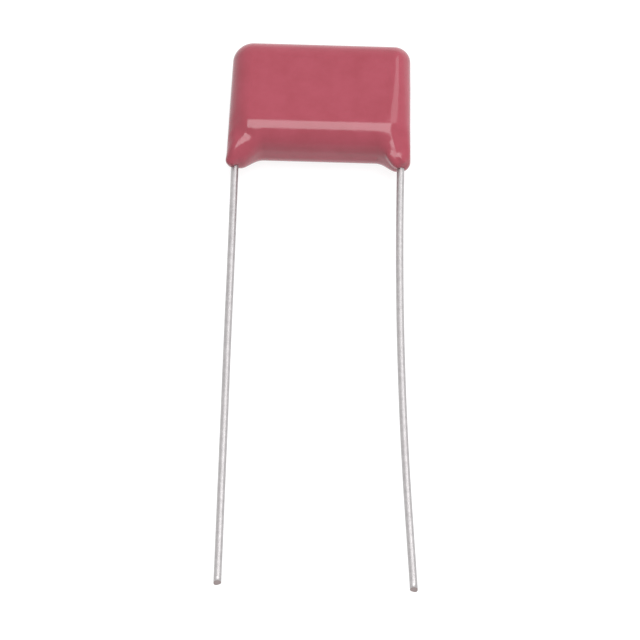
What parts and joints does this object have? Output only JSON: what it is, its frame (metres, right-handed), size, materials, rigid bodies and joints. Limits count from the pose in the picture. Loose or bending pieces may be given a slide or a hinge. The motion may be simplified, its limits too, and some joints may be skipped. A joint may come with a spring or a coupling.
{
  "type": "dipped film capacitor",
  "caption": "Radial film capacitor: a rounded red epoxy-dipped block on a flat back, with a foot of epoxy down each long tinned wire lead.",
  "frame": {"origin": "centre of the block's flat back face, with the block measured without its feet and leads", "axes": "+Z out of the front face, the leads run towards -Y, X runs from one lead to the other"},
  "size_m": [0.018, 0.0549, 0.0055],
  "materials": {
    "epoxy": "glossy dipped epoxy with a slight waviness",
    "film": "wound metallised film edges",
    "wrap": "clear plain film, slightly yellow",
    "end_metal": "rough sprayed zinc",
    "tinned_wire": "bright tin over drawn wire"
  },
  "bodies": {
    "root": {"epoxy_coat": "epoxy", "film_winding": "film", "outer_wrap": "wrap", "end_spray_left": "end_metal", "end_spray_right": "end_metal", "lead_left": "tinned_wire", "lead_right": "tinned_wire"}
  },
  "joints": []
}
